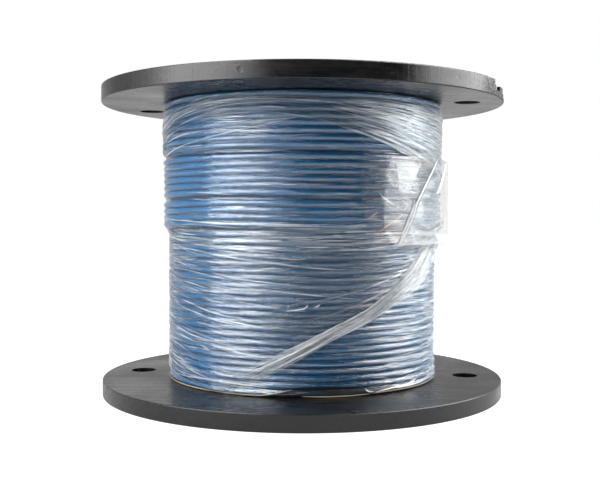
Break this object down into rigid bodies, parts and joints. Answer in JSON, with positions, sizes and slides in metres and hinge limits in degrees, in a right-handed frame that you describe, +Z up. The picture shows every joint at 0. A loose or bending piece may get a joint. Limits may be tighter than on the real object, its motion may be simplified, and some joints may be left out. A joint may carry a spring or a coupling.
{
  "type": "wire spool",
  "caption": "Black two-flange reel wound with blue round cable under clear stretch film, with a through arbor bore and drive holes in each flange.",
  "frame": {"origin": "middle of the lower flange's outer face, on the spool's axis", "axes": "+Z up along the spool's axis from the lower flange to the upper one, -Y towards the front, +X to the viewer's right"},
  "size_m": [0.3048, 0.3048, 0.2303],
  "materials": {
    "flange_black": "black, satin gloss, fine streaks and scratches",
    "drum_fibre": "pressed fibre, matte",
    "bush_plastic": "moulded, satin",
    "zinc_steel": "bright zinc plate",
    "wire_jacket": "blue cable jacket, satin",
    "clear_film": "clear stretch film, glossy, wrinkled",
    "pouch_film": "clear pouch, glossy, creased"
  },
  "bodies": {
    "root": {"lower_flange": "flange_black", "upper_flange": "flange_black", "drum_tube": "drum_fibre", "arbor_bush_lower": "bush_plastic", "arbor_bush_upper": "bush_plastic", "tie_bolts": "zinc_steel", "head_washers": "zinc_steel", "nut_washers": "zinc_steel", "hex_nuts": "zinc_steel", "wire_inner_layers": "wire_jacket", "wire_outer_layer": "wire_jacket", "wire_top_layer": "wire_jacket", "stretch_film": "clear_film", "film_tail": "clear_film", "label_pouch": "pouch_film"}
  },
  "joints": []
}
